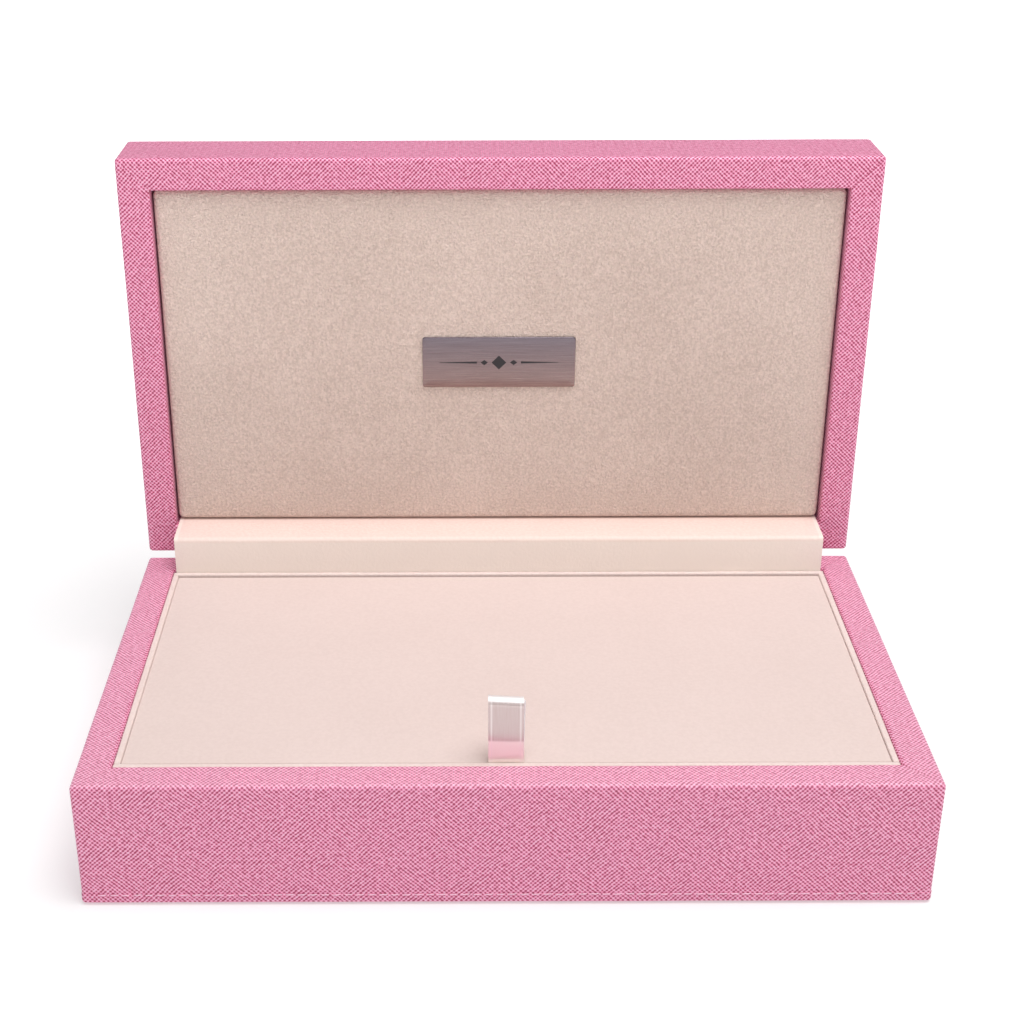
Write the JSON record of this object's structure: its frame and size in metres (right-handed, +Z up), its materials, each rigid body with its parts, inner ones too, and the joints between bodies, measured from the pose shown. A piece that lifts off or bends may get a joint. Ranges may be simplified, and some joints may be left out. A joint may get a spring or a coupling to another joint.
{
  "type": "jewelry box",
  "caption": "Hinged presentation box in cross-grain leatherette, shown open, with a lift-out velvet pad, pull ribbon and padded suede lid panel.",
  "frame": {"origin": "centre of the base's footprint, on its underside", "axes": "+X along the long side to the right, +Y from the front towards the hinges, +Z up"},
  "size_m": [0.24, 0.1616, 0.1781],
  "materials": {
    "leatherette": "pink cross-grain embossed, satin sheen",
    "velvet_card": "cream short-pile velvet on card",
    "pad_velvet": "cream short-pile velvet",
    "strip_velvet": "cream short-pile velvet",
    "suede": "cream-beige napped microsuede",
    "satin": "glossy white satin ribbon",
    "foam": "open-cell foam sheet",
    "fibreboard": "raw fibreboard",
    "hinge_steel": "bright nickel-plated steel",
    "plate_steel": "horizontally brushed",
    "underside_paper": "embossed paper"
  },
  "bodies": {
    "base": {"underside_sheet": "underside_paper", "base_bottom_board": "fibreboard", "base_wall_front": "fibreboard", "base_wall_back": "fibreboard", "base_wall_left": "fibreboard", "base_wall_right": "fibreboard", "base_wrap": "leatherette", "compartment_floor": "velvet_card", "liner_front": "velvet_card", "liner_back": "velvet_card", "liner_left": "velvet_card", "liner_right": "velvet_card", "ledge_front": "velvet_card", "ledge_back": "velvet_card", "ledge_left": "velvet_card", "ledge_right": "velvet_card", "base_hinge_leaf_left": "hinge_steel", "base_hinge_leaf_right": "hinge_steel", "base_hinge_screw_1": "hinge_steel", "base_hinge_screw_2": "hinge_steel", "base_hinge_screw_3": "hinge_steel", "base_hinge_screw_4": "hinge_steel", "hinge_pin_left": "hinge_steel", "hinge_pin_right": "hinge_steel", "hinge_strip": "strip_velvet"},
    "lid": {"lid_top_board": "fibreboard", "lid_wall_front": "fibreboard", "lid_wall_back": "fibreboard", "lid_wall_left": "fibreboard", "lid_wall_right": "fibreboard", "lid_wrap": "leatherette", "panel_cover": "suede", "panel_board": "fibreboard", "panel_foam": "foam", "panel_batten_front": "fibreboard", "panel_batten_back": "fibreboard", "panel_batten_left": "fibreboard", "panel_batten_right": "fibreboard", "name_plate": "plate_steel", "lid_hinge_leaf_left": "hinge_steel", "lid_hinge_leaf_right": "hinge_steel", "lid_hinge_screw_1": "hinge_steel", "lid_hinge_screw_2": "hinge_steel", "lid_hinge_screw_3": "hinge_steel", "lid_hinge_screw_4": "hinge_steel"},
    "pad": {"pad_cover": "pad_velvet", "pad_board": "fibreboard", "pad_foam": "foam", "pull_ribbon": "satin"}
  },
  "joints": [
    {"name": "lid_hinge", "type": "hinge", "parent": "base", "child": "lid", "pos_m": [0, 0.0693, 0.0403], "axis": [1, 0, 0], "range_deg": [0, 90], "deforming": ["hinge_strip", "pull_ribbon"]},
    {"name": "pad_lift", "type": "slide", "parent": "base", "child": "pad", "axis": [0, 0, 1], "range_m": [0, 0.06]}
  ]
}
